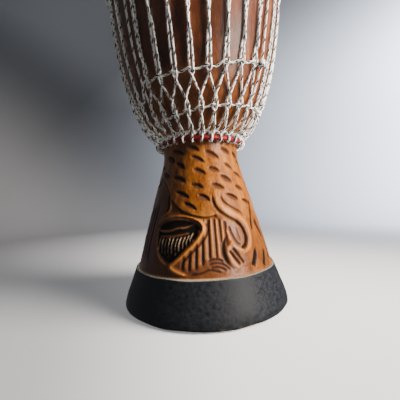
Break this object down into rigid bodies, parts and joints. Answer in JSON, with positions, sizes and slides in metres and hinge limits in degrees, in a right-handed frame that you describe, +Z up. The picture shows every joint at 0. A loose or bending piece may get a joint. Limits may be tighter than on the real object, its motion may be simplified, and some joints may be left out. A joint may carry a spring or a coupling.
{
  "type": "djembe",
  "caption": "Rope-tuned djembe: carved goblet hardwood shell, goatskin head, red-wrapped tension rings, white laced rope with a diamond weave, rubber foot sleeve.",
  "frame": {"origin": "middle of the foot's resting face, on the surface the drum stands on", "axes": "+Z up along the drum's axis towards the head, -Y towards the front of the lacing, +X to the player's right of it"},
  "size_m": [0.3349, 0.3347, 0.6215],
  "materials": {
    "hardwood": "gloss varnish",
    "rubber": "satin, scuffed",
    "goatskin": "matt",
    "iron": "bare rod",
    "red_cloth": "matt woven strip",
    "rope": "braided polyester, white with dark flecks"
  },
  "bodies": {
    "root": {"shell": "hardwood", "foot_sleeve": "rubber", "head_skin": "goatskin", "flesh_ring": "iron", "crown_ring": "iron", "crown_ring_wrap": "red_cloth", "crown_cradle": "rope", "crown_knot": "rope", "tension_rope": "rope", "lacing_knot": "rope", "weave_rope": "rope", "tie_off_knot": "rope", "bottom_cradle": "rope", "bottom_knot": "rope", "bottom_ring": "iron", "bottom_ring_wrap": "red_cloth"}
  },
  "joints": []
}
